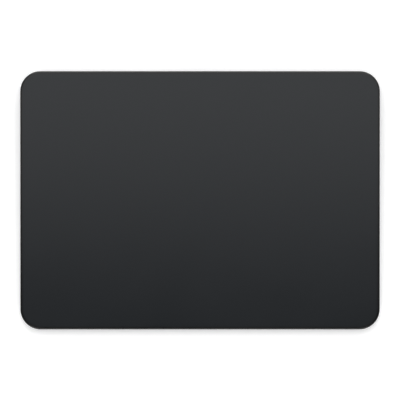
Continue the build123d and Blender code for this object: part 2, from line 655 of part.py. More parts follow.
def make_floor_screws():
    """The screws of the main board and of the electromagnet."""
    screws = [Pos(x, y, BOARD_TOP) * screw(SCREW_LENGTH) for x, y in board_screw_places()]
    for x, y in bracket_screw_places():
        screws.append(Pos(x, y, CORE_BOTTOM) * screw(BRACKET_SCREW_LENGTH))
    return group(screws)


def make_main_board():
    """The long board behind the battery, with clear holes for its screws."""
    blank = RectangleRounded(BOARD_LENGTH, BOARD_DEPTH, BOARD_CORNER_RADIUS)
    middle = (BOARD_FRONT + BOARD_REAR) / 2
    board = Pos(0, middle, BOARD_BOTTOM) * extrude(blank, amount=BOARD_THICKNESS)
    for x, y in board_screw_places():
        board -= clear_hole(BOARD_THICKNESS, x, y, BOARD_BOTTOM)
    return board


def chip(length, depth, height, x, row_shift=0):
    """A part on the main board, its rear side in line with the others of the row."""
    rear = BOARD_REAR - CHIP_REAR_GAP - row_shift
    return bar(length, rear - depth, rear, BOARD_TOP, BOARD_TOP + height, x)


def make_radio_shield():
    """The pressed can over the radio."""
    can = chip(SHIELD_LENGTH, SHIELD_DEPTH, SHIELD_HEIGHT, SHIELD_X)
    upper = can.edges().filter_by(Axis.Z) + can.edges().group_by(Axis.Z)[-1]
    return fillet(upper, SHIELD_EDGE_RADIUS)


def make_chip_antenna():
    """The antenna, set in from the row of chips to lie over the middle of its window."""
    front = ANTENNA_REAR - ANTENNA_DEPTH
    return bar(ANTENNA_LENGTH, front, ANTENNA_REAR, BOARD_TOP, BOARD_TOP + ANTENNA_HEIGHT, ANTENNA_X)


def make_microcontroller():
    return chip(CONTROLLER_SIZE, CONTROLLER_SIZE, CONTROLLER_HEIGHT, CONTROLLER_X)


def make_haptic_driver():
    return chip(DRIVER_SIZE, DRIVER_SIZE, DRIVER_HEIGHT, DRIVER_X)


def make_charge_controller():
    return chip(CHARGER_SIZE, CHARGER_SIZE, CHARGER_HEIGHT, CHARGER_X)


def make_power_inductor():
    coil_case = chip(INDUCTOR_SIZE, INDUCTOR_SIZE, INDUCTOR_HEIGHT, INDUCTOR_X)
    return fillet(coil_case.edges().filter_by(Axis.Z), INDUCTOR_EDGE_RADIUS)


def make_board_capacitors():
    """Two short rows of small capacitors beside the charging circuit."""
    capacitors = []
    for column in range(CAPACITOR_COLUMNS):
        x = CAPACITOR_X + column * CAPACITOR_COLUMN_PITCH
        for row in range(CAPACITOR_ROWS):
            row_shift = row * CAPACITOR_ROW_PITCH
            capacitors.append(chip(CAPACITOR_LENGTH, CAPACITOR_DEPTH, CAPACITOR_HEIGHT, x, row_shift))
    return group(capacitors)


def socket(lead_width, lead_thickness, x):
    """A connector on the front of the main board, slotted for a flat lead."""
    width = lead_width + 2 * SOCKET_SIDE_WALL
    rear = SOCKET_FRONT + SOCKET_DEPTH
    body = bar(width, SOCKET_FRONT, rear, BOARD_TOP, BOARD_TOP + SOCKET_HEIGHT, x)
    half_gap = lead_thickness / 2 + SOCKET_SLOT_CLEARANCE
    slot_rear = SOCKET_FRONT + SOCKET_REACH + SOCKET_SLOT_CLEARANCE
    slot_width = lead_width + 2 * SOCKET_SLOT_CLEARANCE
    low = LEAD_LEVEL - half_gap
    high = LEAD_LEVEL + half_gap
    return body - bar(slot_width, SOCKET_FRONT - OVERRUN, slot_rear, low, high, x)


def make_board_sockets():
    """The connectors for the battery, the touch sensor, the gauges and the magnet."""
    return group(
        [
            socket(BATTERY_LEAD_WIDTH, LEAD_THICKNESS, 0),
            socket(SENSOR_FLEX_WIDTH, LEAD_THICKNESS, SENSOR_FLEX_X),
            socket(HARNESS_WIDTH, HARNESS_THICKNESS, -HARNESS_X),
            socket(HARNESS_WIDTH, HARNESS_THICKNESS, HARNESS_X),
            socket(HAPTIC_LEAD_WIDTH, LEAD_THICKNESS, HAPTIC_LEAD_X),
        ]
    )


def make_battery_pouch():
    """The flat cell, with the sealed shelf at its rear edge that its tabs leave by."""
    cell = bar(BATTERY_LENGTH, BATTERY_FRONT, BATTERY_REAR, BATTERY_BOTTOM, BATTERY_TOP)
    cell = fillet(cell.edges(), BATTERY_EDGE_RADIUS)
    root = BATTERY_REAR - BATTERY_EDGE_RADIUS
    rear = BATTERY_REAR + TERRACE_DEPTH
    return cell + bar(TERRACE_LENGTH, root, rear, TERRACE_BOTTOM, PROTECTION_BOARD_BOTTOM)


def make_battery_adhesive():
    """Two pull-out strips of adhesive under the cell."""
    front = BATTERY_FRONT + BATTERY_EDGE_RADIUS
    rear = BATTERY_REAR - BATTERY_EDGE_RADIUS
    middle = BATTERY_LENGTH / 2 - BATTERY_ADHESIVE_END_GAP - BATTERY_ADHESIVE_WIDTH / 2
    return group(
        bar(BATTERY_ADHESIVE_WIDTH, front, rear, FLOOR_TOP, BATTERY_BOTTOM, x)
        for x in (-middle, middle)
    )


def make_protection_board():
    """The narrow board on the battery's shelf that guards the cell."""
    front = PROTECTION_BOARD_REAR - PROTECTION_BOARD_DEPTH
    low = PROTECTION_BOARD_BOTTOM
    return bar(PROTECTION_BOARD_LENGTH, front, PROTECTION_BOARD_REAR, low, PROTECTION_BOARD_TOP)


def make_protection_chips():
    size = PROTECTION_CHIP_SIZE
    height = PROTECTION_CHIP_THICKNESS
    return group(
        block(size, size, height, x, PROTECTION_BOARD_MIDDLE, PROTECTION_BOARD_TOP)
        for x in (-PROTECTION_CHIP_SPACING, PROTECTION_CHIP_SPACING)
    )


def make_battery_lead():
    """The short flat lead from the battery's own board to the main board."""
    high = PROTECTION_BOARD_TOP + LEAD_THICKNESS / 2
    bend = (SOCKET_FRONT - PROTECTION_BOARD_REAR) / 4
    points = [
        (PROTECTION_BOARD_MIDDLE, high),
        (PROTECTION_BOARD_REAR + bend, high),
        (SOCKET_FRONT - bend, LEAD_LEVEL),
        (SOCKET_FRONT + SOCKET_REACH, LEAD_LEVEL),
    ]
    return ribbon(points, LEAD_THICKNESS, BATTERY_LEAD_WIDTH, 0)


def make_sensor_flex():
    """The flat lead that comes down from the deck to the main board."""
    below = DECK_LEVEL + LEAD_THICKNESS / 2
    down_y = (PROTECTION_BOARD_REAR + SOCKET_FRONT) / 2
    bend_y = down_y - SENSOR_FLEX_SLANT
    start_y = bend_y - SENSOR_FLEX_LAP
    points = [
        (start_y, deck_height(start_y, below)),
        (bend_y, deck_height(bend_y, below)),
        (down_y, LEAD_LEVEL),
        (SOCKET_FRONT + SOCKET_REACH, LEAD_LEVEL),
    ]
    return ribbon(points, LEAD_THICKNESS, SENSOR_FLEX_WIDTH, SENSOR_FLEX_X)


def tooth_places():
    """The number and the x of each tooth of the electromagnet."""
    first = (TOOTH_PITCH - CORE_LENGTH) / 2
    for n in range(TOOTH_COUNT):
        yield n + 1, first + n * TOOTH_PITCH


def make_haptic_core():
    """The comb-shaped iron core: a yoke with teeth towards the attractor bar."""
    core = bar(CORE_LENGTH, YOKE_FRONT, YOKE_REAR, CORE_BOTTOM, CORE_TOP)
    for _, x in tooth_places():
        core += bar(TOOTH_WIDTH, YOKE_REAR, TOOTH_TIP, CORE_BOTTOM, CORE_TOP, x)
    return core


def make_haptic_coil(x):
    """The winding on one tooth."""
    front = YOKE_REAR + COIL_YOKE_GAP
    rear = TOOTH_TIP - COIL_TIP_REVEAL
    bottom = CORE_BOTTOM - COIL_TOOTH_GAP - COIL_BUILD
    width = TOOTH_WIDTH + 2 * (COIL_TOOTH_GAP + COIL_BUILD)
    winding = bar(width, front, rear, bottom, bottom + COIL_HEIGHT, x)
    winding = fillet(winding.edges().filter_by(Axis.Y), COIL_CORNER_RADIUS)
    hole_width = TOOTH_WIDTH + 2 * COIL_TOOTH_GAP
    low = CORE_BOTTOM - COIL_TOOTH_GAP
    high = CORE_TOP + COIL_TOOTH_GAP
    return winding - bar(hole_width, front - OVERRUN, rear + OVERRUN, low, high, x)


def make_haptic_bracket():
    """The steel plate that the core is bonded to, with a screwed ear at each end."""
    length = CORE_LENGTH + 2 * BRACKET_EAR
    plate = bar(length, YOKE_FRONT, YOKE_REAR, FLOOR_TOP, CORE_BOTTOM)
    plate = fillet(plate.edges().filter_by(Axis.Z), BRACKET_CORNER_RADIUS)
    for x, y in bracket_screw_places():
        plate -= clear_hole(CORE_BOTTOM - FLOOR_TOP, x, y, FLOOR_TOP)
    return plate


def make_haptic_lead():
    """The flat lead from the top of the core, round the battery, to the main board."""
    low = FLOOR_TOP + LEAD_THICKNESS / 2
    high = CORE_TOP + LEAD_THICKNESS / 2
    ear_end = CORE_LENGTH / 2 + BRACKET_EAR
    points = [
        ((TOOTH_PITCH - CORE_LENGTH) / 2, high),
        (ear_end + HAPTIC_LEAD_STEP, high),
        (ear_end + 2 * HAPTIC_LEAD_STEP, low),
        (HAPTIC_LEAD_X + HAPTIC_LEAD_WIDTH / 2, low),
    ]
    front = YOKE_FRONT + HAPTIC_LEAD_EDGE_GAP
    line = FilletPolyline(*points, radius=RIBBON_BEND_RADIUS)
    cross = extrude(Plane.XZ * trace(line, LEAD_THICKNESS), amount=-HAPTIC_LEAD_WIDTH)
    along = floor_lead(front, LEAD_THICKNESS, HAPTIC_LEAD_WIDTH, HAPTIC_LEAD_X)
    return Pos(0, front, 0) * cross + along


def make_attractor_mount():
    """The plate under the sensor board that the attractor bar hangs from."""
    middle_y = (BAR_FRONT + BAR_REAR) / 2
    middle_v = (middle_y - DECK_LEVEL * math.sin(TILT)) / math.cos(TILT)
    length = CORE_LENGTH + 2 * MOUNT_END_MARGIN
    plate = block(length, BAR_DEPTH + 2 * MOUNT_EDGE_MARGIN, MOUNT_THICKNESS, 0, middle_v)
    return deck_plane(DECK_LEVEL + MOUNT_THICKNESS) * plate


def make_attractor_bar():
    """The steel bar that the electromagnet pulls, level with the core's teeth."""
    steel = bar(CORE_LENGTH, BAR_FRONT, BAR_REAR, CORE_BOTTOM, REAR_HEIGHT)
    return split(steel, bisect_by=deck_plane(DECK_LEVEL + MOUNT_THICKNESS), keep=Keep.BOTTOM)


def usb_bore(front, rear, gap):
    """The inside of the socket's shell, smaller by a gap all round."""
    margin = USB_SHELL_WALL + gap
    return slot_prism(USB_SHELL_WIDTH - 2 * margin, USB_SHELL_HEIGHT - 2 * margin, front, rear)


def make_usb_shell():
    """The drawn steel shell of the socket."""
    front = USB_MOUTH - USB_SHELL_LENGTH
    shell = slot_prism(USB_SHELL_WIDTH, USB_SHELL_HEIGHT, front, USB_MOUTH)
    return shell - usb_bore(front - OVERRUN, USB_MOUTH + OVERRUN, 0)


def make_usb_tongue():
    """The plastic tongue that carries the contacts, and the plug it grows from."""
    front = USB_MOUTH - USB_SHELL_LENGTH
    low = PORT_HEIGHT - USB_TONGUE_THICKNESS / 2
    high = PORT_HEIGHT + USB_TONGUE_THICKNESS / 2
    base = usb_bore(front, front + USB_BASE_DEPTH, USB_BASE_GAP)
    return base + bar(USB_TONGUE_WIDTH, front, USB_MOUTH - USB_TONGUE_RECESS, low, high)


def make_usb_contacts():
    """Two rows of gold contacts, one on each side of the tongue."""
    rear = USB_MOUTH - USB_TONGUE_RECESS - USB_CONTACT_TIP_GAP
    front = rear - USB_CONTACT_LENGTH
    first = -(USB_CONTACT_COUNT - 1) / 2 * USB_CONTACT_PITCH
    lower = PORT_HEIGHT - USB_TONGUE_THICKNESS / 2 - USB_CONTACT_THICKNESS
    upper = PORT_HEIGHT + USB_TONGUE_THICKNESS / 2
    contacts = []
    for n in range(USB_CONTACT_COUNT):
        x = first + n * USB_CONTACT_PITCH
        for low in (lower, upper):
            contacts.append(bar(USB_CONTACT_WIDTH, front, rear, low, low + USB_CONTACT_THICKNESS, x))
    return group(contacts)


def usb_arch(gap, front, rear):
    """A form over the shell at some gap, with straight legs down to the board."""
    width = USB_SHELL_WIDTH + 2 * gap
    crown = slot_prism(width, USB_SHELL_HEIGHT + 2 * gap, front, rear)
    return crown + bar(width, front, rear, BOARD_TOP, PORT_HEIGHT)


def make_usb_bracket():
    """A strap over the socket, with a soldered ear on the board at each side."""
    rear = BOARD_REAR - USB_BRACKET_INSET
    front = rear - USB_BRACKET_LENGTH
    strap = usb_arch(USB_BRACKET_GAP + USB_BRACKET_THICKNESS, front, rear)
    strap += bar(USB_BRACKET_WIDTH, front, rear, BOARD_TOP, BOARD_TOP + USB_BRACKET_THICKNESS)
    strap -= usb_arch(USB_BRACKET_GAP, front - OVERRUN, rear + OVERRUN)
    return split(strap, bisect_by=Plane.XY.offset(BOARD_TOP), keep=Keep.TOP)


def make_switch_knob():
    """The sliding knob in the rear wall, with fine grip grooves."""
    knob = slot_prism(SWITCH_KNOB_LENGTH, SWITCH_KNOB_HEIGHT, CARRIER_REAR, KNOB_FACE, KNOB_REST_X)
    knob = fillet(knob.edges().group_by(Axis.Y)[-1], SWITCH_KNOB_EDGE_RADIUS)
    low = PORT_HEIGHT - SWITCH_KNOB_HEIGHT / 2 + SWITCH_GRIP_MARGIN
    high = PORT_HEIGHT + SWITCH_KNOB_HEIGHT / 2 - SWITCH_GRIP_MARGIN
    first = KNOB_REST_X - (SWITCH_GRIP_COUNT - 1) / 2 * SWITCH_GRIP_PITCH
    for n in range(SWITCH_GRIP_COUNT):
        x = first + n * SWITCH_GRIP_PITCH
        knob -= bar(SWITCH_GRIP_WIDTH, KNOB_FACE - SWITCH_GRIP_DEPTH, KNOB_FACE + OVERRUN, low, high, x)
    return knob


def make_switch_carrier():
    """The plate behind the slot, with two prongs that take the actuator along."""
    low = PORT_HEIGHT - CARRIER_HEIGHT / 2
    high = PORT_HEIGHT + CARRIER_HEIGHT / 2
    plate = bar(CARRIER_LENGTH, CARRIER_FRONT, CARRIER_REAR, low, high, KNOB_REST_X)
    offset = ACTUATOR_LENGTH / 2 + ACTUATOR_SIDE_GAP + CARRIER_PRONG_WIDTH / 2
    low = PORT_HEIGHT - ACTUATOR_HEIGHT / 2
    high = PORT_HEIGHT + ACTUATOR_HEIGHT / 2
    for x in (KNOB_REST_X - offset, KNOB_REST_X + offset):
        plate += bar(CARRIER_PRONG_WIDTH, PRONG_FRONT, CARRIER_FRONT, low, high, x)
    return plate


def make_switch_on_flag():
    """The coloured film that shows beside the knob while the power is on."""
    left = KNOB_REST_X - CARRIER_LENGTH / 2 + FLAG_MARGIN
    right = KNOB_REST_X - SWITCH_KNOB_LENGTH / 2 + SWITCH_KNOB_HEIGHT / 2
    half_height = SLOT_HEIGHT / 2 + FLAG_MARGIN
    low = PORT_HEIGHT - half_height
    high = PORT_HEIGHT + half_height
    rear = CARRIER_REAR + FLAG_THICKNESS
    film = bar(right - left, CARRIER_REAR, rear, low, high, (left + right) / 2)
    length = SWITCH_KNOB_LENGTH + 2 * FLAG_KNOB_GAP
    height = SWITCH_KNOB_HEIGHT + 2 * FLAG_KNOB_GAP
    return film - slot_prism(length, height, CARRIER_REAR - OVERRUN, rear + OVERRUN, KNOB_REST_X)


def make_switch_actuator():
    """The slider of the switch, held between the prongs of the carrier."""
    low = PORT_HEIGHT - ACTUATOR_HEIGHT / 2
    high = PORT_HEIGHT + ACTUATOR_HEIGHT / 2
    return bar(ACTUATOR_LENGTH, ACTUATOR_REAR - ACTUATOR_DEPTH, ACTUATOR_REAR, low, high, KNOB_REST_X)


def make_switch_housing():
    """The body of the switch on the main board, with a window for its slider."""
    front = HOUSING_REAR - SWITCH_HOUSING_DEPTH
    top = 2 * PORT_HEIGHT - BOARD_TOP
    housing = bar(SWITCH_HOUSING_LENGTH, front, HOUSING_REAR, BOARD_TOP, top, SWITCH_X)
    length = ACTUATOR_LENGTH + SWITCH_TRAVEL + 2 * SWITCH_WINDOW_CLEARANCE
    half_height = ACTUATOR_HEIGHT / 2 + SWITCH_WINDOW_CLEARANCE
    low = PORT_HEIGHT - half_height
    high = PORT_HEIGHT + half_height
    pocket_front = ACTUATOR_REAR - ACTUATOR_DEPTH - SWITCH_WINDOW_CLEARANCE
    return housing - bar(length, pocket_front, HOUSING_REAR + OVERRUN, low, high, SWITCH_X)


def make_parts():
    """Every piece of the trackpad under the name of its node."""
    parts = {
        "enclosure": make_enclosure(),
        "rim_seal": make_rim_seal(),
        "bottom_cover": make_bottom_cover(),
        "cover_adhesive": make_cover_adhesive(),
        "top_glass": make_top_glass(),
        "glass_adhesive": make_glass_adhesive(),
        "sensor_board": make_sensor_board(),
        "touch_controller": make_touch_controller(),
        "sensor_flex": make_sensor_flex(),
        "strain_gauges": make_strain_gauges(),
        "gauge_harness_left": make_gauge_harness(-1),
        "gauge_harness_right": make_gauge_harness(1),
        "flexure_screws": make_flexure_screws(),
        "floor_screws": make_floor_screws(),
        "main_board": make_main_board(),
        "radio_shield": make_radio_shield(),
        "chip_antenna": make_chip_antenna(),
        "microcontroller": make_microcontroller(),
        "haptic_driver": make_haptic_driver(),
        "charge_controller": make_charge_controller(),
        "power_inductor": make_power_inductor(),
        "board_capacitors": make_board_capacitors(),
        "board_sockets": make_board_sockets(),
        "usb_shell": make_usb_shell(),
        "usb_tongue": make_usb_tongue(),
        "usb_contacts": make_usb_contacts(),
        "usb_bracket": make_usb_bracket(),
        "switch_knob": make_switch_knob(),
        "switch_carrier": make_switch_carrier(),
        "switch_on_flag": make_switch_on_flag(),
        "switch_actuator": make_switch_actuator(),
        "switch_housing": make_switch_housing(),
        "battery_pouch": make_battery_pouch(),
        "battery_adhesive": make_battery_adhesive(),
        "protection_board": make_protection_board(),
        "protection_chips": make_protection_chips(),
        "battery_lead": make_battery_lead(),
        "haptic_core": make_haptic_core(),
        "haptic_bracket": make_haptic_bracket(),
        "haptic_lead": make_haptic_lead(),
        "attractor_mount": make_attractor_mount(),
        "attractor_bar": make_attractor_bar(),
    }
    for name, x, y in foot_places():
        parts[name] = make_foot(x, y)
    for number, x in tooth_places():
        parts[f"haptic_coil_{number}"] = make_haptic_coil(x)
    for corner, x_sign, y_sign in flexure_places():
        parts[f"flexure_{corner}"] = make_flexure(x_sign, y_sign)
        parts[f"gel_pad_{corner}"] = make_gel_pad(x_sign, y_sign)
    return parts


os.makedirs("parts", exist_ok=True)
for node, shape in make_parts().items():
    export_step(shape, f"parts/{node}.step")
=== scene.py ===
import json
import math

import bmesh
import bpy
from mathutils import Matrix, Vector


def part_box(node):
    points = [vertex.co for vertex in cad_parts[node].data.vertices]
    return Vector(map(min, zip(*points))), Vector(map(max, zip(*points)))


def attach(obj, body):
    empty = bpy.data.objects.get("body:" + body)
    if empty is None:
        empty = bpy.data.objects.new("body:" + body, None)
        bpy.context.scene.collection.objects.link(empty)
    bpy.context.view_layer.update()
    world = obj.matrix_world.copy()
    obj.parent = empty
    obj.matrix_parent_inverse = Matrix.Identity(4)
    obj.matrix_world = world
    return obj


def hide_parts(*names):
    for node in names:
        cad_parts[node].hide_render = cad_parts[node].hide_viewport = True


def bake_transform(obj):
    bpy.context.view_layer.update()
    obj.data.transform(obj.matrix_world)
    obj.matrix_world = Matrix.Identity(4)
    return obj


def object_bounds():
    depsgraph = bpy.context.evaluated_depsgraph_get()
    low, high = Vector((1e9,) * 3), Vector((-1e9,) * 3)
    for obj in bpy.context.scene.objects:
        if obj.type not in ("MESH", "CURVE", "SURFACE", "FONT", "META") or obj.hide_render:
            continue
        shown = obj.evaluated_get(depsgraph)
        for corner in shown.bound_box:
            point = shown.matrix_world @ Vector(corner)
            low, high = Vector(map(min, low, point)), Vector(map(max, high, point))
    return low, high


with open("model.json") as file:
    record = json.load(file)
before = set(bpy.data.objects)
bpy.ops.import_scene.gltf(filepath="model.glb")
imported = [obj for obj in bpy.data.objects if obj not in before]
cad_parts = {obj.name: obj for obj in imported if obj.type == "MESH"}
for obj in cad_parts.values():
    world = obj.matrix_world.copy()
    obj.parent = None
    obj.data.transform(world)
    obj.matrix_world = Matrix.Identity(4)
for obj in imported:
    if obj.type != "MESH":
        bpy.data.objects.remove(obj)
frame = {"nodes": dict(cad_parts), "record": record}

# Lengths are in metres, in the frame of the part: +Z is up from the desk and +Y is
# towards the rear wall with the socket.
MM = 0.001
CAD_LOW, CAD_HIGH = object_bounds()
GLASS_LOW, GLASS_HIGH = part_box("top_glass")
GLASS_CENTRE = (GLASS_LOW + GLASS_HIGH) / 2
GLASS_CORNER_RADIUS = 9 * MM
CORNERS = ("front_left", "front_right", "rear_left", "rear_right")
TOOTH_COUNT = 4

# The photograph looks straight down from far away, so that it shows no side.
CAMERA_DISTANCE = 5.0
FIELD_WIDTH = 177.95 * MM
FRAME_SHIFT = Vector((-0.013 * MM, 0.156 * MM, 0))
SENSOR_WIDTH = 36.0

# Floor: matt paper that takes the shadow, with a glow for the camera and for reflections that is
# dimmed near the part as a painted shadow
FLOOR_RADIUS = 6.0
FLOOR_SEGMENTS = 64
FLOOR_COLOUR = 0.8
FLOOR_WHITE = 1.22
FLOOR_SHADE_REACH = 0.018
FLOOR_SHADE_SAMPLES = 12

# Sky: a band round the horizon, and a strip across the front and the rear. Its edges are
# where the x, y or z of a direction starts and ends a change of strength.
SKY_HORIZON = 1.2
SKY_ABOVE = 0.08
SKY_BAND_EDGE = (0.0, 0.35)
SKY_SIDE_SHARE = 0.4
SKY_SIDE_EDGE = (0.3, 0.7)
SKY_STRIP_FRONT = 3.2
SKY_STRIP_REAR = 2.8
SKY_STRIP_TURN = (-0.1, 0.1)
SKY_STRIP_LOWER_EDGE = (0.4, 0.5)
SKY_STRIP_UPPER_EDGE = (0.7, 0.8)
SKY_STRIP_SIDE_EDGE = (0.3, 0.45)

# Softbox over the rear of the glass, and how much the floor gets of it and of the sky
KEY_SIZE = (0.7, 0.5)
KEY_HEIGHT = 0.36
KEY_FRONT_EDGE = -0.046
KEY_RADIANCE = 1.385
KEY_FLOOR_SHARE = 0.45
KEY_FLOOR_SPREAD = 0.5
SKY_ON_FLOOR = 0.3

# Springy pieces: the part of a flexure on its seat, and the lead that comes down from the deck
FLEXURE_SEAT_DEPTH = 5 * MM
LEAD_LAP = 9 * MM
LEAD_SLANT = 1.4 * MM
BEND_CUTS = 12
WELD_DISTANCE = 0.001 * MM
SHARP_ANGLE = math.radians(35)

# Soft pads: the cuts along each side, and how far in the ends are drawn
PAD_CUTS = 7
PAD_DRAWN_IN = 0.12 * MM

# Windings: the wire, its turns, and the opening that clears the tooth
WIRE_RADIUS = 0.12 * MM
WIRE_LAYERS = 2
WIRE_CORNER_RADIUS = 0.12 * MM
WIRE_CORNER_STEPS = 4
COIL_OPENING_WIDTH = 6.1 * MM
COIL_OPENING_HEIGHT = 1.3 * MM

# Nodes: the pitch of a wave texture whose scale is 1, the samples of an edge, and the
# sockets of a mix node that are for colours
WAVE_PITCH = math.tau / 20
EDGE_SAMPLES = 6
MIX_FACTOR, MIX_FIRST, MIX_SECOND = 0, 6, 7
MIX_RESULT = 2

# Plain stuffs: a dark and a light colour, the size of their blotches, the range of
# roughness, the size and depth of the grain, and what is the same all over the surface
METAL = {"Metallic": 1.0}
PLAIN_LOOKS = {
    "cover_aluminium": dict(
        dark=(0.508, 0.518, 0.53), light=(0.52, 0.53, 0.542), blotch=14 * MM,
        rough=(0.46, 0.6), grain=0.14 * MM, depth=0.006 * MM, fixed=METAL,
    ),
    "pad_gel": dict(
        dark=(0.5, 0.52, 0.56), light=(0.62, 0.64, 0.67), blotch=3 * MM,
        rough=(0.2, 0.34), grain=0.4 * MM, depth=0.01 * MM,
        fixed={"Subsurface Weight": 0.4, "Subsurface Scale": 0.5 * MM},
    ),
    "film_adhesive": dict(
        dark=0.06, light=0.1, blotch=2 * MM,
        rough=(0.4, 0.6), grain=0.3 * MM, depth=0.01 * MM,
    ),
    "chip_resin": dict(
        dark=0.02, light=0.032, blotch=0.6 * MM,
        rough=(0.5, 0.66), grain=0.08 * MM, depth=0.006 * MM,
    ),
    "ceramic": dict(
        dark=(0.46, 0.36, 0.25), light=(0.6, 0.5, 0.38), blotch=0.5 * MM,
        rough=(0.3, 0.45), grain=0.1 * MM, depth=0.004 * MM,
    ),
    "connector_plastic": dict(
        dark=(0.7, 0.68, 0.62), light=(0.8, 0.78, 0.72), blotch=2 * MM,
        rough=(0.4, 0.55), grain=0.12 * MM, depth=0.004 * MM,
    ),
    "plain_steel": dict(
        dark=(0.45, 0.45, 0.44), light=(0.53, 0.53, 0.52), blotch=1.5 * MM,
        rough=(0.24, 0.36), grain=0.1 * MM, depth=0.003 * MM, fixed=METAL,
    ),
    "spring_steel": dict(
        dark=0.46, light=0.56, blotch=0.5 * MM, stretch=(1, 0.08, 1),
        rough=(0.22, 0.4), grain=0.08 * MM, depth=0.004 * MM, fixed=METAL,
    ),
    "copper_wire": dict(
        dark=(0.62, 0.26, 0.12), light=(0.78, 0.38, 0.2), blotch=0.8 * MM,
        rough=(0.2, 0.34), grain=0.1 * MM, depth=0.002 * MM,
        fixed={"Metallic": 1.0, "Coat Weight": 0.6},
    ),
    "gold_plate": dict(
        dark=(0.8, 0.56, 0.2), light=(0.9, 0.68, 0.3), blotch=0.4 * MM,
        rough=(0.16, 0.28), grain=0.05 * MM, depth=0.001 * MM, fixed=METAL,
    ),
    "tongue_plastic": dict(
        dark=0.02, light=0.034, blotch=0.8 * MM,
        rough=(0.42, 0.58), grain=0.1 * MM, depth=0.004 * MM,
    ),
    "knob_plastic": dict(
        dark=(0.56, 0.57, 0.58), light=(0.64, 0.65, 0.66), blotch=2 * MM,
        rough=(0.38, 0.5), grain=0.1 * MM, depth=0.004 * MM,
    ),
    "switch_plastic": dict(
        dark=0.035, light=0.055, blotch=1 * MM,
        rough=(0.45, 0.6), grain=0.12 * MM, depth=0.005 * MM,
    ),
    "on_green": dict(
        dark=(0.05, 0.5, 0.1), light=(0.09, 0.62, 0.15), blotch=0.8 * MM,
        rough=(0.35, 0.5), grain=0.08 * MM, depth=0.002 * MM,
    ),
}


def make_camera():
    """Looks straight down, with the frame as wide as the photograph's."""
    data = bpy.data.cameras.new("camera")
    data.sensor_width = SENSOR_WIDTH
    data.lens = SENSOR_WIDTH * CAMERA_DISTANCE / FIELD_WIDTH
    data.clip_end = 2 * CAMERA_DISTANCE
    camera = bpy.data.objects.new("camera", data)
    camera.location = GLASS_CENTRE + FRAME_SHIFT + Vector((0, 0, CAMERA_DISTANCE))
    bpy.context.scene.collection.objects.link(camera)
    bpy.context.scene.camera = camera


def add_node(tree, kind, inputs=(), **settings):
    """A shader node with some settings, and its inputs by name as values or links."""
    made = tree.nodes.new(kind)
    for key, value in settings.items():
        setattr(made, key, value)
    for key, value in dict(inputs).items():
        if isinstance(value, bpy.types.NodeSocket):
            tree.links.new(value, made.inputs[key])
        else:
            made.inputs[key].default_value = value
    return made


def shade(colour):
    """A grey level or a colour, as a colour with alpha."""
    if isinstance(colour, (int, float)):
        colour = (colour, colour, colour)
    return (*colour, 1.0)


def calculate(tree, operation, first, second=0.0):
    """The result of a sum with one or two numbers."""
    return add_node(tree, "ShaderNodeMath", {0: first, 1: second}, operation=operation).outputs[0]


def combine(tree, operation, first, second=(0, 0, 0)):
    """The vector that comes of a sum with one or two vectors."""
    inputs = {0: first, 1: second}
    return add_node(tree, "ShaderNodeVectorMath", inputs, operation=operation).outputs["Vector"]


def measure(tree, operation, first, second=(0, 0, 0)):
    """The number that comes of a sum with one or two vectors."""
    inputs = {0: first, 1: second}
    return add_node(tree, "ShaderNodeVectorMath", inputs, operation=operation).outputs["Value"]


def ranged(tree, value, low=0.0, high=1.0, start=0.3, end=0.7):
    """What goes from low to high as a value goes from start to end, and is held beyond."""
    inputs = {"Value": value, "From Min": start, "From Max": end, "To Min": low, "To Max": high}
    return add_node(tree, "ShaderNodeMapRange", inputs).outputs["Result"]


def blended(tree, factor, first, second):
    """A colour between two colours, each a colour or a link."""
    inputs = {MIX_FACTOR: factor, MIX_FIRST: first, MIX_SECOND: second}
    made = add_node(tree, "ShaderNodeMix", inputs, data_type="RGBA")
    return made.outputs[MIX_RESULT]


def stretched(tree, place, scale):
    """The coordinates stretched by a factor along each axis."""
    return add_node(tree, "ShaderNodeMapping", {"Vector": place, "Scale": scale}).outputs["Vector"]


def noise(tree, place, size, detail=3.0):
    """A smooth random pattern with blotches of about some size, from 0 to 1."""
    inputs = {"Vector": place, "Scale": 1 / size, "Detail": detail}
    return add_node(tree, "ShaderNodeTexNoise", inputs).outputs["Fac"]


def cells(tree, place, size, **settings):
    """The distance from the points of a random pattern, in units of about their spacing."""
    inputs = {"Vector": place, "Scale": 1 / size}
    return add_node(tree, "ShaderNodeTexVoronoi", inputs, **settings).outputs["Distance"]


def bands(tree, place, pitch, axis, distortion=0.0):
    """Soft bands side by side along an axis, each from 0 to 1 and back over the pitch."""
    inputs = {"Vector": place, "Scale": WAVE_PITCH / pitch, "Distortion": distortion}
    made = add_node(tree, "ShaderNodeTexWave", inputs, wave_type="BANDS", bands_direction=axis)
    return made.outputs["Fac"]


def bumped(tree, height, depth, below=None):
    """A surface whose height follows a pattern, on top of another such surface or a plain one."""
    inputs = {"Height": height, "Distance": depth, "Strength": 1.0}
    if below is not None:
        inputs["Normal"] = below
    return add_node(tree, "ShaderNodeBump", inputs).outputs["Normal"]


def edge_share(tree, radius):
    """1 along sharp edges and 0 elsewhere, over a band of about some radius."""
    rounded = add_node(tree, "ShaderNodeBevel", {"Radius": radius}, samples=EDGE_SAMPLES)
    flat = add_node(tree, "ShaderNodeNewGeometry")
    facing = measure(tree, "DOT_PRODUCT", rounded.outputs["Normal"], flat.outputs["Normal"])
    return ranged(tree, facing, low=1.0, high=0.0, start=0.8, end=0.99)


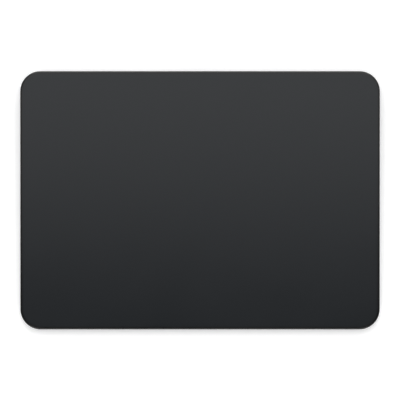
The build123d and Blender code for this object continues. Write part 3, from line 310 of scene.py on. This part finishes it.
def rim_share(tree, place, inner, outer):
    """0 up to some distance from the glass's outline and 1 from a smaller one outwards."""
    bend = Vector((GLASS_HIGH.x - GLASS_CORNER_RADIUS, GLASS_HIGH.y - GLASS_CORNER_RADIUS, 0))
    flat = combine(tree, "MULTIPLY", place, (1, 1, 0))
    folded = combine(tree, "ABSOLUTE", flat)
    beyond = combine(tree, "SUBTRACT", folded, bend)
    ahead = combine(tree, "MAXIMUM", beyond)
    reach = measure(tree, "LENGTH", ahead)
    return ranged(tree, reach, start=GLASS_CORNER_RADIUS - inner, end=GLASS_CORNER_RADIUS - outer)


def new_material(name):
    """An empty material with its shader, and the coordinates of the piece in metres."""
    material = bpy.data.materials.new(name)
    material.use_nodes = True
    tree = material.node_tree
    tree.nodes.clear()
    shader = add_node(tree, "ShaderNodeBsdfPrincipled")
    output = add_node(tree, "ShaderNodeOutputMaterial")
    tree.links.new(shader.outputs["BSDF"], output.inputs["Surface"])
    place = add_node(tree, "ShaderNodeTexCoord").outputs["Object"]
    return material, tree, shader, place


def join_shader(tree, shader, colour, roughness, normal):
    """Links what varies over the surface to the shader."""
    tree.links.new(colour, shader.inputs["Base Color"])
    tree.links.new(roughness, shader.inputs["Roughness"])
    tree.links.new(normal, shader.inputs["Normal"])


def plain_finish(name, dark, light, blotch, rough, grain, depth, stretch=(1, 1, 1), fixed=()):
    """A solid stuff: mottled colour, uneven gloss and a fine grain."""
    material, tree, shader, place = new_material(name)
    along = stretched(tree, place, stretch)
    mottle = ranged(tree, noise(tree, along, blotch))
    fine = noise(tree, along, grain)
    colour = blended(tree, mottle, shade(dark), shade(light))
    roughness = ranged(tree, fine, *rough)
    join_shader(tree, shader, colour, roughness, bumped(tree, fine, depth))
    for socket, value in dict(fixed).items():
        shader.inputs[socket].default_value = value
    return material


def black_glass():
    """Glass over black ink: a satin etched face, uneven from handling, and a polished rounded border,
    along which the ink is drawn darker as painted shade.
    """
    ink_dark = shade((0.005, 0.0072, 0.0096))
    ink_light = shade((0.006, 0.0084, 0.011))
    # Painted shade: the ink is drawn darker along the rounded border, for the dark ring that the
    # border shows.
    shaded_rim_ink = shade((0.001, 0.0014, 0.0018))
    rim_polish = 0.06
    material, tree, shader, place = new_material("black_glass")
    haze = noise(tree, place, size=22 * MM, detail=2.0)
    etch = noise(tree, place, size=0.12 * MM, detail=2.0)
    polish_and_shade_rim = rim_share(tree, place, inner=1.7 * MM, outer=0.6 * MM)
    face = blended(tree, haze, ink_dark, ink_light)
    # The rounded border gets painted shade in its colour and a real polish in its roughness.
    colour = blended(tree, polish_and_shade_rim, face, shaded_rim_ink)
    handled = ranged(tree, haze, low=-0.012, high=0.012)
    satin = calculate(tree, "ADD", ranged(tree, etch, low=0.31, high=0.37), handled)
    roughness = calculate(tree, "SUBTRACT", satin, calculate(tree, "MULTIPLY", polish_and_shade_rim, rim_polish))
    join_shader(tree, shader, colour, roughness, bumped(tree, etch, depth=0.0012 * MM))
    shader.inputs["IOR"].default_value = 1.45
    return material


def tray_aluminium():
    """Anodised aluminium: an even blasted grain, with polished machined borders that are drawn
    lighter as a painted highlight.
    """
    dark = shade((0.5, 0.51, 0.525))
    light = shade((0.52, 0.53, 0.545))
    pit = shade((0.44, 0.45, 0.465))
    # Painted highlight: the machined borders are drawn lighter than the body.
    highlighted_cut = shade((0.71, 0.72, 0.735))
    cut_polish = 0.14
    material, tree, shader, place = new_material("tray_aluminium")
    grain = noise(tree, place, size=0.16 * MM, detail=4.0)
    cloud = noise(tree, place, size=12 * MM, detail=2.0)
    polish_and_highlight_edge = edge_share(tree, radius=0.12 * MM)
    body = blended(tree, ranged(tree, cloud), dark, light)
    body = blended(tree, ranged(tree, grain, high=0.35), body, pit)
    # The machined borders get the painted highlight in colour and a real polish in roughness.
    colour = blended(tree, polish_and_highlight_edge, body, highlighted_cut)
    blasted = ranged(tree, grain, low=0.34, high=0.46)
    roughness = calculate(tree, "SUBTRACT", blasted, calculate(tree, "MULTIPLY", polish_and_highlight_edge, cut_polish))
    join_shader(tree, shader, colour, roughness, bumped(tree, grain, depth=0.006 * MM))
    shader.inputs["Metallic"].default_value = 1.0
    return material


def foot_rubber():
    """Moulded rubber with a fine matt skin and specks of dust."""
    dark = shade((0.28, 0.29, 0.3))
    light = shade((0.35, 0.36, 0.37))
    dusty = shade((0.48, 0.47, 0.45))
    material, tree, shader, place = new_material("foot_rubber")
    skin = noise(tree, place, size=0.25 * MM, detail=4.0)
    dust = ranged(tree, noise(tree, place, size=0.5 * MM, detail=6.0), high=0.35, start=0.6, end=0.75)
    body = blended(tree, skin, dark, light)
    colour = blended(tree, dust, body, dusty)
    roughness = ranged(tree, skin, low=0.72, high=0.92)
    join_shader(tree, shader, colour, roughness, bumped(tree, skin, depth=0.02 * MM))
    return material


def seal_foam():
    """Closed-cell black foam with a cell pattern on its skin."""
    material, tree, shader, place = new_material("seal_foam")
    distance = cells(tree, place, size=0.22 * MM)
    colour = blended(tree, distance, shade(0.035), shade(0.015))
    roughness = ranged(tree, distance, low=0.8, high=0.98)
    join_shader(tree, shader, colour, roughness, bumped(tree, distance, depth=-0.03 * MM))
    return material


def circuit_board():
    """Green solder mask over raised copper tracks, with tinned holes, and dark cut edges."""
    mask_bare = shade((0.008, 0.05, 0.032))
    mask_on_track = shade((0.016, 0.105, 0.06))
    tin = shade((0.62, 0.6, 0.55))
    laminate_dark = shade((0.012, 0.014, 0.008))
    laminate_light = shade((0.024, 0.026, 0.016))
    track_pitch = 1.6 * MM
    material, tree, shader, place = new_material("circuit_board")
    normal = add_node(tree, "ShaderNodeTexCoord").outputs["Normal"]
    upright = add_node(tree, "ShaderNodeSeparateXYZ", {"Vector": normal}).outputs["Z"]
    face = ranged(tree, calculate(tree, "ABSOLUTE", upright), start=0.5, end=0.6)
    nearest = cells(tree, place, track_pitch, feature="F1", distance="CHEBYCHEV")
    second = cells(tree, place, track_pitch, feature="F2", distance="CHEBYCHEV")
    border = calculate(tree, "SUBTRACT", second, nearest)
    track = ranged(tree, border, low=1.0, high=0.0, start=0.1, end=0.15)
    track = calculate(tree, "MULTIPLY", track, face)
    hole = ranged(tree, cells(tree, place, size=2.1 * MM), low=1.0, high=0.0, start=0.1, end=0.13)
    weave = noise(tree, place, size=0.3 * MM)
    laminate = blended(tree, weave, laminate_dark, laminate_light)
    mask = blended(tree, track, mask_bare, mask_on_track)
    colour = blended(tree, face, laminate, blended(tree, hole, mask, tin))
    roughness = ranged(tree, weave, low=0.26, high=0.4)
    raised = bumped(tree, track, depth=0.03 * MM)
    join_shader(tree, shader, colour, roughness, bumped(tree, weave, 0.004 * MM, raised))
    return material


def striped_film(name, film, metal, pitch, metal_share):
    """Thin plastic film with a row of metal tracks in it, side by side along X."""
    soft_edge = 0.3
    material, tree, shader, place = new_material(name)
    wave = bands(tree, place, pitch, "X")
    track = ranged(tree, wave, start=1 - metal_share, end=1 - metal_share * (1 - soft_edge))
    film_grain = noise(tree, place, size=0.4 * MM)
    colour = blended(tree, track, shade(film), shade(metal))
    roughness = ranged(tree, film_grain, low=0.24, high=0.38)
    raised = bumped(tree, track, depth=0.015 * MM)
    join_shader(tree, shader, colour, roughness, bumped(tree, film_grain, 0.004 * MM, raised))
    return material


def magnet_iron():
    """A stack of thin iron sheets, whose edges show as fine lines."""
    gap = shade((0.16, 0.15, 0.14))
    iron = shade((0.42, 0.42, 0.43))
    material, tree, shader, place = new_material("magnet_iron")
    sheets = bands(tree, place, 0.2 * MM, "Z", distortion=0.3)
    line = ranged(tree, sheets, start=0.1, end=0.35)
    rolled = noise(tree, stretched(tree, place, (0.1, 1, 1)), size=0.2 * MM)
    colour = blended(tree, line, gap, iron)
    roughness = ranged(tree, rolled, low=0.32, high=0.5)
    join_shader(tree, shader, colour, roughness, bumped(tree, line, depth=0.02 * MM))
    shader.inputs["Metallic"].default_value = 1.0
    return material


def battery_foil():
    """Laminated pouch foil with soft dents and a fine pressed grain."""
    dark = shade((0.3, 0.3, 0.31))
    light = shade((0.4, 0.4, 0.41))
    material, tree, shader, place = new_material("battery_foil")
    dents = noise(tree, place, size=9 * MM, detail=4.0)
    pressed = noise(tree, place, size=0.3 * MM)
    colour = blended(tree, ranged(tree, dents), dark, light)
    roughness = ranged(tree, pressed, low=0.3, high=0.44)
    raised = bumped(tree, dents, depth=0.5 * MM)
    join_shader(tree, shader, colour, roughness, bumped(tree, pressed, 0.006 * MM, raised))
    shader.inputs["Metallic"].default_value = 0.85
    return material


def make_materials():
    """One material for each slot of the record."""
    polyimide = (0.42, 0.2, 0.045)
    copper = (0.7, 0.38, 0.16)
    gauge_backing = (0.45, 0.26, 0.08)
    gauge_foil = (0.62, 0.6, 0.56)
    materials = {
        "black_glass": black_glass(),
        "tray_aluminium": tray_aluminium(),
        "foot_rubber": foot_rubber(),
        "seal_foam": seal_foam(),
        "circuit_board": circuit_board(),
        "flex_film": striped_film("flex_film", polyimide, copper, pitch=0.5 * MM, metal_share=0.55),
        "gauge_film": striped_film(
            "gauge_film", gauge_backing, gauge_foil, pitch=0.35 * MM, metal_share=0.5,
        ),
        "magnet_iron": magnet_iron(),
        "battery_foil": battery_foil(),
    }
    for name, look in PLAIN_LOOKS.items():
        materials[name] = plain_finish(name, **look)
    return materials


def dress_nodes(materials):
    """Gives each piece of the frame the material of its slot."""
    slots = {entry["node"]: entry["material_slot"] for entry in frame["record"]["subparts"]}
    for name, piece in frame["nodes"].items():
        piece.data.materials.clear()
        piece.data.materials.append(materials[slots[name]])


def corner_turn(half_width, half_height, radius):
    """The points of one turn of wire round a tooth, as (x, z) from its middle."""
    corners = ((1, -1, -90), (1, 1, 0), (-1, 1, 90), (-1, -1, 180))
    for x_sign, z_sign, start in corners:
        for step in range(WIRE_CORNER_STEPS):
            angle = math.radians(start + 90 * step / (WIRE_CORNER_STEPS - 1))
            x = x_sign * (half_width - radius) + radius * math.cos(angle)
            z = z_sign * (half_height - radius) + radius * math.sin(angle)
            yield x, z


def winding_points(low, high):
    """The route of the wire: along the tooth in one layer, and back in the next."""
    middle = (low + high) / 2
    pitch = 2 * WIRE_RADIUS
    turns = int((high.y - low.y - pitch) / pitch)
    for layer in range(WIRE_LAYERS):
        out = WIRE_RADIUS + layer * pitch
        half_width = COIL_OPENING_WIDTH / 2 + out
        half_height = COIL_OPENING_HEIGHT / 2 + out
        radius = WIRE_CORNER_RADIUS + out
        ring = list(corner_turn(half_width, half_height, radius))
        for turn in range(turns):
            for n, (x, z) in enumerate(ring):
                along = (turn + n / len(ring)) * pitch
                y = low.y + WIRE_RADIUS + along if layer % 2 == 0 else high.y - WIRE_RADIUS - along
                yield Vector((middle.x + x, y, middle.z + z))


def make_winding(number, materials):
    """The wound wire on one tooth of the electromagnet."""
    low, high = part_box(f"haptic_coil_{number}")
    points = list(winding_points(low, high))
    curve = bpy.data.curves.new(f"winding_{number}", "CURVE")
    curve.dimensions = "3D"
    curve.bevel_depth = WIRE_RADIUS
    curve.bevel_resolution = 1
    curve.use_fill_caps = True
    spline = curve.splines.new("POLY")
    spline.points.add(len(points) - 1)
    for target, point in zip(spline.points, points):
        target.co = (*point, 1)
    curve.materials.append(materials["copper_wire"])
    piece = bpy.data.objects.new(f"winding_{number}", curve)
    bpy.context.scene.collection.objects.link(piece)
    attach(piece, "base")
    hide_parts(f"haptic_coil_{number}")


def make_piece(name, form, slot, materials):
    """A piece from mesh data, with the finish of a slot."""
    mesh = bpy.data.meshes.new(name)
    form.to_mesh(mesh)
    form.free()
    mesh.shade_smooth()
    mesh.set_sharp_from_angle(angle=SHARP_ANGLE)
    mesh.materials.append(materials[slot])
    piece = bpy.data.objects.new(name, mesh)
    bpy.context.scene.collection.objects.link(piece)
    return piece


def copied_form(node):
    """The shape of a piece of the frame, with its vertices joined up."""
    form = bmesh.new()
    form.from_mesh(frame["nodes"][node].data)
    bmesh.ops.remove_doubles(form, verts=form.verts, dist=WELD_DISTANCE)
    return form


def cut_lengths(form, start, end):
    """Cuts a shape across, so that it can bend smoothly from start to end."""
    for n in range(BEND_CUTS + 1):
        geometry = form.verts[:] + form.edges[:] + form.faces[:]
        place = start.lerp(end, n / BEND_CUTS)
        bmesh.ops.bisect_plane(form, geom=geometry, plane_co=place, plane_no=end - start)


def flexure_bend(corner):
    """Where the flexure of one corner leaves its seat, and where it carries its pad."""
    low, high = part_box(f"flexure_{corner}")
    pad_low, pad_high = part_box(f"gel_pad_{corner}")
    inner, carried = (low.y, pad_low.y) if low.y > 0 else (high.y, pad_high.y)
    middle = (low + high) / 2
    free = inner + math.copysign(FLEXURE_SEAT_DEPTH, inner)
    return Vector((middle.x, free, middle.z)), Vector((middle.x, carried, middle.z))


def make_bending_flexures(materials):
    """Copies of the flexures, cut across between their seat and their pad so that they can bend
    there.
    """
    for corner in CORNERS:
        start, end = flexure_bend(corner)
        form = copied_form(f"flexure_{corner}")
        cut_lengths(form, start, end)
        piece = make_piece(f"spring_{corner}", form, "spring_steel", materials)
        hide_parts(f"flexure_{corner}")
        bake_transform(piece)


def make_bending_gauges(materials):
    """The gauges, cut across where their flexures bend, those of the front and of the rear as one
    piece each.
    """
    for end_name, y_sign in (("front", -1), ("rear", 1)):
        start, end = flexure_bend(f"{end_name}_left")
        form = copied_form("strain_gauges")
        others = [vertex for vertex in form.verts if vertex.co.y * y_sign < 0]
        bmesh.ops.delete(form, geom=others, context="VERTS")
        cut_lengths(form, start, end)
        piece = make_piece(f"gauges_{end_name}", form, "gauge_film", materials)
        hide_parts("strain_gauges")
        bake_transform(piece)


def make_bending_lead(materials):
    """The lead under the deck, cut across between its lap on the deck and its socket so that it can
    give way there.
    """
    low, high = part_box("sensor_flex")
    end = Vector((low.x, low.y + LEAD_LAP, high.z))
    start = Vector((low.x, end.y + LEAD_SLANT, high.z))
    form = copied_form("sensor_flex")
    cut_lengths(form, start, end)
    piece = make_piece("deck_lead", form, "flex_film", materials)
    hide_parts("sensor_flex")
    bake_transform(piece)


def deck_normal():
    """The direction square to the glass, upwards."""
    faces = frame["nodes"]["top_glass"].data.polygons
    normal = max(faces, key=lambda face: face.area).normal
    return normal if normal.z > 0 else -normal


def make_soft_pad(corner, up, materials):
    """A pad of gel that is drawn in a little where it is stuck, above and below."""
    low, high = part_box(f"gel_pad_{corner}")
    centre = (low + high) / 2
    form = copied_form(f"gel_pad_{corner}")
    heights = [(vertex.co - centre).dot(up) for vertex in form.verts]
    half = max(heights)
    bmesh.ops.subdivide_edges(form, edges=form.edges[:], cuts=PAD_CUTS, use_grid_fill=True)
    for vertex in form.verts:
        height = (vertex.co - centre).dot(up)
        outward = vertex.co - centre - height * up
        if outward.length > 0:
            vertex.co -= outward.normalized() * PAD_DRAWN_IN * (height / half) ** 2
    piece = make_piece(f"soft_pad_{corner}", form, "pad_gel", materials)
    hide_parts(f"gel_pad_{corner}")
    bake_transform(piece)


def floor_glow(tree):
    """What the floor lacks to be seen as white: more of it where less of the softbox reaches, and
    less near the part, where occlusion dims it into a painted shadow.
    """
    place = add_node(tree, "ShaderNodeTexCoord").outputs["Object"]
    under_key = (0, KEY_FRONT_EDGE + KEY_SIZE[1] / 2, 0)
    spread = calculate(tree, "DIVIDE", measure(tree, "DISTANCE", place, under_key), KEY_FLOOR_SPREAD)
    # Light from overhead fades with the fourth power of the cosine of its slant.
    spread_squared = calculate(tree, "POWER", spread, 2.0)
    fade = calculate(tree, "POWER", calculate(tree, "ADD", spread_squared, 1.0), -2.0)
    lit = calculate(tree, "MULTIPLY", fade, FLOOR_COLOUR * KEY_RADIANCE * KEY_FLOOR_SHARE)
    glow = calculate(tree, "SUBTRACT", FLOOR_WHITE - FLOOR_COLOUR * SKY_ON_FLOOR, lit)
    # Painted shadow: occlusion dims the glow near the part.
    reach = {"Distance": FLOOR_SHADE_REACH}
    painted_shadow_ao = add_node(tree, "ShaderNodeAmbientOcclusion", reach, samples=FLOOR_SHADE_SAMPLES)
    return calculate(tree, "MULTIPLY", glow, painted_shadow_ao.outputs["AO"])


def floor_material():
    """White paper: it takes the part's shadow, and is seen as white where it is open; near the part
    its glow is dimmed into a painted shadow.
    """
    material = bpy.data.materials.new("floor")
    material.use_nodes = True
    tree = material.node_tree
    tree.nodes.clear()
    paper = add_node(tree, "ShaderNodeBsdfDiffuse", {"Color": shade(FLOOR_COLOUR)})
    path = add_node(tree, "ShaderNodeLightPath").outputs
    seen = calculate(tree, "MAXIMUM", path["Is Camera Ray"], path["Is Glossy Ray"])
    seen = calculate(tree, "MAXIMUM", seen, path["Is Transmission Ray"])
    strength = calculate(tree, "MULTIPLY", seen, floor_glow(tree))
    glow = add_node(tree, "ShaderNodeEmission", {"Color": shade(1.0), "Strength": strength})
    both = add_node(tree, "ShaderNodeAddShader", {0: paper.outputs[0], 1: glow.outputs[0]})
    add_node(tree, "ShaderNodeOutputMaterial", {"Surface": both.outputs[0]})
    return material


def make_floor():
    """The floor, a wide disc that the feet stand on."""
    mesh = bpy.data.meshes.new("floor")
    form = bmesh.new()
    bmesh.ops.create_circle(form, cap_ends=True, segments=FLOOR_SEGMENTS, radius=FLOOR_RADIUS)
    form.to_mesh(mesh)
    form.free()
    mesh.materials.append(floor_material())
    floor = bpy.data.objects.new("floor", mesh)
    floor.location.z = CAD_LOW.z
    bpy.context.scene.collection.objects.link(floor)


def make_sky():
    """A soft studio: white round the horizon, dimmer at both sides, a strip in front and behind."""
    world = bpy.data.worlds.new("studio")
    world.use_nodes = True
    tree = world.node_tree
    tree.nodes.clear()
    direction = add_node(tree, "ShaderNodeTexCoord").outputs["Generated"]
    parts = add_node(tree, "ShaderNodeSeparateXYZ", {"Vector": direction}).outputs
    band = ranged(tree, parts["Z"], SKY_HORIZON, SKY_ABOVE, *SKY_BAND_EDGE)
    aside = calculate(tree, "ABSOLUTE", parts["X"])
    band = calculate(tree, "MULTIPLY", band, ranged(tree, aside, 1.0, SKY_SIDE_SHARE, *SKY_SIDE_EDGE))
    lower = ranged(tree, parts["Z"], 0.0, 1.0, *SKY_STRIP_LOWER_EDGE)
    upper = ranged(tree, parts["Z"], 1.0, 0.0, *SKY_STRIP_UPPER_EDGE)
    sides = ranged(tree, aside, 1.0, 0.0, *SKY_STRIP_SIDE_EDGE)
    strip = calculate(tree, "MULTIPLY", calculate(tree, "MULTIPLY", lower, upper), sides)
    level = ranged(tree, parts["Y"], SKY_STRIP_FRONT, SKY_STRIP_REAR, *SKY_STRIP_TURN)
    strength = calculate(tree, "ADD", band, calculate(tree, "MULTIPLY", strip, level))
    sky = add_node(tree, "ShaderNodeBackground", {"Color": shade(1.0), "Strength": strength})
    add_node(tree, "ShaderNodeOutputWorld", {"Surface": sky.outputs[0]})
    bpy.context.scene.world = world


def make_key_light():
    """The softbox: its front edge hangs over the glass, so the gloss fades to the front."""
    data = bpy.data.lights.new("key", "AREA")
    data.shape = "RECTANGLE"
    data.size, data.size_y = KEY_SIZE
    data.energy = KEY_RADIANCE * math.pi * data.size * data.size_y
    light = bpy.data.objects.new("key", data)
    light.location = (0, KEY_FRONT_EDGE + data.size_y / 2, KEY_HEIGHT)
    light.visible_camera = False
    bpy.context.scene.collection.objects.link(light)


bpy.context.scene.view_settings.view_transform = "Standard"
make_camera()
make_sky()
make_key_light()
make_floor()
surfaces = make_materials()
dress_nodes(surfaces)
for tooth in range(1, TOOTH_COUNT + 1):
    make_winding(tooth, surfaces)
make_bending_flexures(surfaces)
make_bending_gauges(surfaces)
make_bending_lead(surfaces)
for pad_corner in CORNERS:
    make_soft_pad(pad_corner, deck_normal(), surfaces)
